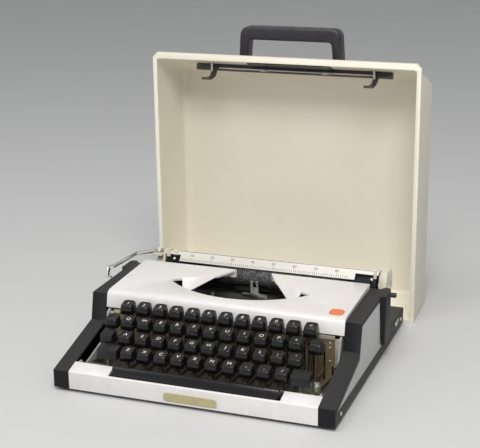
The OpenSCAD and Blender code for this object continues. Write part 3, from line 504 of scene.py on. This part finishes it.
WELD_DISTANCE = 0.00001
FLAT_ANGLE = math.radians(1.0)
BEVEL_ANGLE = math.radians(35)


def in_row(x, y, z):
    """A point given from the front rail, in millimetres, in the frame's metres."""
    return Vector((x, y - RAIL_TO_ORIGIN, z)) * MM


def finish_node(node, finish, bevel):
    """Gives a CAD node its finish and, where it has one, its rounded edges."""
    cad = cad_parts[node]
    cad.data.materials.clear()
    cad.data.materials.append(MATERIALS[finish])
    if bevel:
        weld = cad.modifiers.new("weld", "WELD")
        weld.merge_threshold = WELD_DISTANCE
        flatten = cad.modifiers.new("flatten", "DECIMATE")
        flatten.decimate_type = "DISSOLVE"
        flatten.angle_limit = FLAT_ANGLE
        flatten.delimit = {"MATERIAL"}
        rounding = cad.modifiers.new("rounding", "BEVEL")
        rounding.width = bevel * MM
        rounding.segments = 2
        rounding.limit_method = "ANGLE"
        rounding.angle_limit = BEVEL_ANGLE
        rounding.harden_normals = True
    for face in cad.data.polygons:
        face.use_smooth = bool(bevel)
        face.material_index = 0


def refinish(node, finish, belongs):
    """Gives another finish to the faces of a CAD node whose middle, from the front rail, belongs to it."""
    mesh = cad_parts[node].data
    mesh.materials.append(MATERIALS[finish])
    index = len(mesh.materials) - 1
    for face in mesh.polygons:
        x, y, z = face.center / MM
        if belongs(x, y + RAIL_TO_ORIGIN, z):
            face.material_index = index


for node, (finish, bevel) in FINISHES.items():
    finish_node(node, finish, bevel)

# Parts of a node that have another finish than the rest of it, in millimetres from the front rail
CAP_UNDERSIDE = {"shift_keys": 32.9, "shift_lock": 42.8}
for node, height in CAP_UNDERSIDE.items():
    refinish(node, "lever_steel", lambda x, y, z: z < height)
refinish("space_bar", "frame_steel", lambda x, y, z: z < 15.9 or abs(x) > 97.0)
refinish("main_frame", "grey_paint", lambda x, y, z: abs(x) > 127.5 and y < 150.0)
refinish("key_comb", "khaki_steel", lambda x, y, z: y < 94.9)
refinish("carriage_frame", "cream_plastic", lambda x, y, z: (x < -118.7 or x > 143.2) and z > 50.0)
refinish("paper_scale", "cream_plastic", lambda x, y, z: x < -116.0 or x > 140.0)
refinish("platen_knob", "bright_steel", lambda x, y, z: x > -121.8)
refinish("lid_latch", "brown_metal", lambda x, y, z: z < 292.8)
refinish("shift_keys", "bright_steel", lambda x, y, z: x > 119.0 and 33.9 < y < 42.1 and 18.9 < z < 32.1)


# Badge and plate: blank, in the places of the CAD ones
def rounded_plate(bm, centre, across, up, half_x, half_y, thick, power):
    """A plate with rounded corners and a softened front edge."""
    out = across.cross(up)
    rings = []
    for lift, shrink in ((0.0, 0.0), (thick * 0.6, 0.0), (thick, 0.35), (thick, 1.2)):
        ring = rounded_square(half_x - shrink, half_y - shrink, power)
        rings.append([centre + (across * px + up * py + out * lift) * MM for px, py in ring])
    skin(bm, rings)


BADGE_PLACE = (124.0, 113.0, 80.45)
BADGE_HALF = 7.9
BADGE_THICK = 0.85
BADGE_POWER = 3.0
COVER_RISE = math.atan(2.8 / 97.5)
PLATE_PLACE = (1.0, 0.0, 11.1)
PLATE_HALF = (29.4, 4.9)
PLATE_THICK = 0.55
PLATE_POWER = 9.0


def build_trim():
    """The badge on the top cover and the plate on the front rail."""
    right = Vector((1, 0, 0))
    badge_up = Vector((0, math.cos(COVER_RISE), math.sin(COVER_RISE)))
    badge_mesh = mesh_from(lambda bm: rounded_plate(bm, in_row(*BADGE_PLACE), right, badge_up,
                                                    BADGE_HALF, BADGE_HALF, BADGE_THICK, BADGE_POWER))
    plate_mesh = mesh_from(lambda bm: rounded_plate(bm, in_row(*PLATE_PLACE), right, Vector((0, 0, 1)),
                                                    *PLATE_HALF, PLATE_THICK, PLATE_POWER))
    badge = piece("badge", badge_mesh, "machine", "badge_orange")
    piece("front_plate", plate_mesh, "machine", "plate_brass")
    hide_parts("trim_plates")


build_trim()


# Paper scale: marks for each tenth of an inch, with a number at every tenth mark
SCALE_LOW = (213.0, 81.4)
SCALE_LEAN = math.radians(41)
SCALE_THICK = 1.5
SCALE_START = -95.7
MARK_PITCH = 2.54
MARK_COUNT = 81
MARK_HALF_W = 0.24
MARK_FOOT = 1.0
# How far the marks float over the scale's face
MARK_CLEAR = 0.04
SHORT_MARK = 2.6
FIFTH_MARK = 3.4
TENTH_MARK = 4.2
NUMBER_SIZE = 4.6
NUMBER_UP = 8.2
SCALE_ENDS = (-117.0, 141.0)
EDGE_LINE = (12.4, 13.0)


def scale_point(x, up):
    """A point on the scale's face, up millimetres above its lower edge, just clear of the face."""
    lift = SCALE_THICK + MARK_CLEAR
    y = SCALE_LOW[0] + up * math.sin(SCALE_LEAN) - lift * math.cos(SCALE_LEAN)
    z = SCALE_LOW[1] + up * math.cos(SCALE_LEAN) + lift * math.sin(SCALE_LEAN)
    return in_row(x, y, z)


def scale_marks(bm):
    """The marks, longer at every fifth one, and the numbers over every tenth one."""
    for i in range(MARK_COUNT):
        x = SCALE_START + MARK_PITCH * i
        left, right = x - MARK_HALF_W, x + MARK_HALF_W
        top = MARK_FOOT + (TENTH_MARK if i % 10 == 5 else FIFTH_MARK if i % 5 == 0 else SHORT_MARK)
        corners = [(left, MARK_FOOT), (right, MARK_FOOT), (right, top), (left, top)]
        bm.faces.new([bm.verts.new(scale_point(*c)) for c in corners])
    for tens in range(1, 9):
        flat = text_mesh(str(tens * 10), NUMBER_SIZE)
        x = SCALE_START + MARK_PITCH * (tens * 10 - 5)
        before = len(bm.verts)
        bm.from_mesh(flat)
        bm.verts.ensure_lookup_table()
        for vertex in bm.verts[before:]:
            vertex.co = scale_point(x + vertex.co.x / MM, NUMBER_UP + vertex.co.y / MM)
        bpy.data.meshes.remove(flat)


def scale_edge(bm):
    """A thin dark line along the upper edge of the scale."""
    left, right = SCALE_ENDS
    low, high = EDGE_LINE
    corners = [(left, low), (right, low), (right, high), (left, high)]
    bm.faces.new([bm.verts.new(scale_point(*c)) for c in corners])


piece("scale_marks", mesh_from(scale_marks), "paper_scale", "print_black", smooth=False)
piece("scale_edge", mesh_from(scale_edge), "paper_scale", "brown_metal", smooth=False)


# Small fittings that the CAD leaves out, in millimetres from the front rail
PANEL_SCREWS = ((20.0, 11.0), (285.0, 12.0))
PANEL_SCREW_X = 154.9
PANEL_SCREW_R = 2.2
COMB_SCREWS_Z = (31.8, 47.0, 52.5)
COMB_SCREW_X = 122.0
COMB_FACE_Y = 95.0
COMB_SCREW_R = 1.4
CATCH_PLACE = (155.0, 258.0, 16.0)
CATCH_BOSS = [(-0.2, 3.0), (1.0, 3.0), (1.6, 2.4), (1.8, 1.0)]
CATCH_LEVER = [(0.0, 0.9), (0.6, 1.3), (11.0, 1.3), (12.5, 1.0), (13.0, 0.4)]
ROLLER_PLACES_X = (-106.0, 134.5)
ROLLER_PLACE = (213.9, 83.6)
ROLLER_PROFILE = [(0.0, 1.0), (0.4, 2.2), (1.8, 2.6), (3.2, 2.2), (3.6, 1.0)]
BRACKETS = [
    ((-115.8, 216.8, 85.0), (-111.4, 223.0, 93.4)), ((-108.0, 218.2, 87.0), (-101.0, 221.5, 92.2)),
    ((137.6, 216.8, 84.0), (140.8, 223.0, 93.6)),
]


def block(bm, low, high):
    """A box between two corners, given from the front rail."""
    (x0, y0, z0), (x1, y1, z1) = low, high
    rings = [[in_row(x, y, z) for x, y in ((x0, y0), (x1, y0), (x1, y1), (x0, y1))] for z in (z0, z1)]
    skin(bm, rings)


def screw_head(bm, place, axis, radius):
    """A low domed head with a round recess."""
    profile = [(-0.2, 1.0), (0.25, 1.0), (0.5, 0.75), (0.58, 0.4), (0.3, 0.36), (0.25, 0.05)]
    lathe(bm, place, axis, [(d * radius, r * radius) for d, r in profile])


def machine_screws(bm):
    """Two screws in each side panel and three in each end of the comb plate."""
    for side in (-1, 1):
        for y, z in PANEL_SCREWS:
            screw_head(bm, in_row(side * PANEL_SCREW_X, y, z), (side, 0, 0), PANEL_SCREW_R)
        for z in COMB_SCREWS_Z:
            screw_head(bm, in_row(side * COMB_SCREW_X, COMB_FACE_Y, z), (0, -1, 0), COMB_SCREW_R)


def side_catches(bm):
    """A bright boss with its small lever on the outside of each panel, at the rear."""
    x, y, z = CATCH_PLACE
    for side in (-1, 1):
        lathe(bm, in_row(side * x, y, z), (side, 0, 0), CATCH_BOSS)
        lathe(bm, in_row(side * (x + 0.6), y - 1.0, z), (0, 1, 0.22), CATCH_LEVER, 12)


def bail_bits(bm):
    """The small bright rollers at the ends of the scale's cut-outs."""
    for x in ROLLER_PLACES_X:
        lathe(bm, in_row(x, *ROLLER_PLACE), (1, 0, 0), ROLLER_PROFILE, 20)


def end_brackets(bm):
    """The cream blocks that hold the scale at its ends."""
    for low, high in BRACKETS:
        block(bm, low, high)


piece("machine_screws", mesh_from(machine_screws), "machine", "bright_steel")
piece("side_catches", mesh_from(side_catches), "machine", "chrome")
piece("bail_bits", mesh_from(bail_bits), "paper_scale", "chrome")
piece("end_brackets", mesh_from(end_brackets), "paper_scale", "cream_plastic", smooth=False)


# Bright rod of the latch, with two clips, and the pins beside the hooks
ROD_PLACE = (323.9, 295.0)
ROD_ENDS = (-86.0, 108.0)
ROD_R = 1.1
CLIP_PLACES = (-28.6, 48.5)
CLIP_HALF_L = 4.0
CLIP_HALF_W = 1.8
CLIP_TOP = 1.6
PIN_PLACES = (-93.5, 108.5)
PIN_Y = 319.3
PIN_TOP = 303.0
PIN_LENGTH = 11.5
PIN_R = 1.4


def latch_rod(bm):
    """The rod between the two hooks, with its clips."""
    y, z = ROD_PLACE
    length = ROD_ENDS[1] - ROD_ENDS[0]
    profile = [(0.0, ROD_R - 0.3), (0.4, ROD_R), (length - 0.4, ROD_R), (length, ROD_R - 0.3)]
    lathe(bm, in_row(ROD_ENDS[0], y, z), (1, 0, 0), profile, 12)
    for x in CLIP_PLACES:
        low = (x - CLIP_HALF_L, y - CLIP_HALF_W, z - CLIP_HALF_W)
        block(bm, low, (x + CLIP_HALF_L, y + CLIP_HALF_W, z + CLIP_TOP))


def latch_pins(bm):
    """The pins that stand in the cover beside the hooks."""
    for x in PIN_PLACES:
        lathe(bm, in_row(x, PIN_Y, PIN_TOP), (0, 0, -1),
              [(0.0, 1.0), (0.5, PIN_R), (PIN_LENGTH - 1.0, PIN_R), (PIN_LENGTH, PIN_R / 2)], 16)


piece("latch_rod", mesh_from(latch_rod), "lid_latch", "bright_steel")
piece("latch_pins", mesh_from(latch_pins), "lid", "bright_steel")


# Camera, at the photograph's place
CAMERA_PLACE = (441.2, -1232.45, 544.2)
CAMERA_YAW = 0.354
CAMERA_PITCH = 0.298
CAMERA_ROLL = -0.013
CAMERA_LENS = 90.5


def make_camera():
    """Sets the camera from its place, its two angles and its roll."""
    data = bpy.data.cameras.new("camera")
    data.lens = CAMERA_LENS
    data.sensor_width = 36.0
    data.clip_start = 0.05
    data.clip_end = 50.0
    made = bpy.data.objects.new("camera", data)
    bpy.context.collection.objects.link(made)
    level = Vector((-math.sin(CAMERA_YAW), math.cos(CAMERA_YAW), 0))
    ahead = level * math.cos(CAMERA_PITCH) - Vector((0, 0, math.sin(CAMERA_PITCH)))
    right = ahead.cross(Vector((0, 0, 1))).normalized()
    up = right.cross(ahead)
    tilted_right = right * math.cos(CAMERA_ROLL) + up * math.sin(CAMERA_ROLL)
    tilted_up = up * math.cos(CAMERA_ROLL) - right * math.sin(CAMERA_ROLL)
    turn = Matrix((tilted_right, tilted_up, -ahead)).transposed()
    made.matrix_world = Matrix.Translation(Vector(CAMERA_PLACE) * MM) @ turn.to_4x4()
    bpy.context.scene.camera = made


# Studio: pale floor, soft lights and a pale surround
def make_floor():
    """A plain floor."""
    mesh = bpy.data.meshes.new("floor")
    mesh.from_pydata([(-6, -6, 0), (6, -6, 0), (6, 6, 0), (-6, 6, 0)], [], [(0, 1, 2, 3)])
    floor = bpy.data.objects.new("floor", mesh)
    bpy.context.collection.objects.link(floor)
    mesh.materials.append(surface("floor", (0.6, 0.6, 0.6), (0.58, 0.58, 0.575), (0.55, 0.7),
                                  patch=2.0, grain=300.0))


def area_light(name, place, target, size, power, colour):
    """A soft rectangular light at place that faces target."""
    data = bpy.data.lights.new(name, "AREA")
    data.shape = "RECTANGLE"
    data.size, data.size_y = size
    data.energy = power
    data.color = colour
    made = bpy.data.objects.new(name, data)
    bpy.context.collection.objects.link(made)
    made.location = place
    made.rotation_mode = "QUATERNION"
    made.rotation_quaternion = (Vector(target) - Vector(place)).to_track_quat("-Z", "Y")


# Lights: place and size in metres, power in watts, colour
LIGHT_TARGET = (0.0, 0.0, 0.14)
LIGHTS = {
    "key_light": ((0.6, -1.5, 1.8), (1.0, 0.7), 31.0, (1.0, 0.985, 0.96)),
    "fill_light": ((-1.4, -1.3, 0.9), (1.2, 1.2), 6.0, (0.97, 0.98, 1.0)),
    "top_light": ((0.0, -0.6, 2.1), (1.2, 0.8), 15.0, (1.0, 1.0, 1.0)),
}
SURROUND_COLOUR = (0.84, 0.85, 0.86, 1.0)
SURROUND_STRENGTH = 0.46


def make_lights():
    """Three soft lights and an even surround."""
    for name, (place, size, power, colour) in LIGHTS.items():
        area_light(name, place, LIGHT_TARGET, size, power, colour)
    world = bpy.data.worlds.new("surround")
    world.use_nodes = True
    background = world.node_tree.nodes["Background"]
    background.inputs["Color"].default_value = SURROUND_COLOUR
    background.inputs["Strength"].default_value = SURROUND_STRENGTH
    bpy.context.scene.world = world


make_camera()
make_floor()
make_lights()
bpy.context.scene.view_settings.view_transform = "Standard"
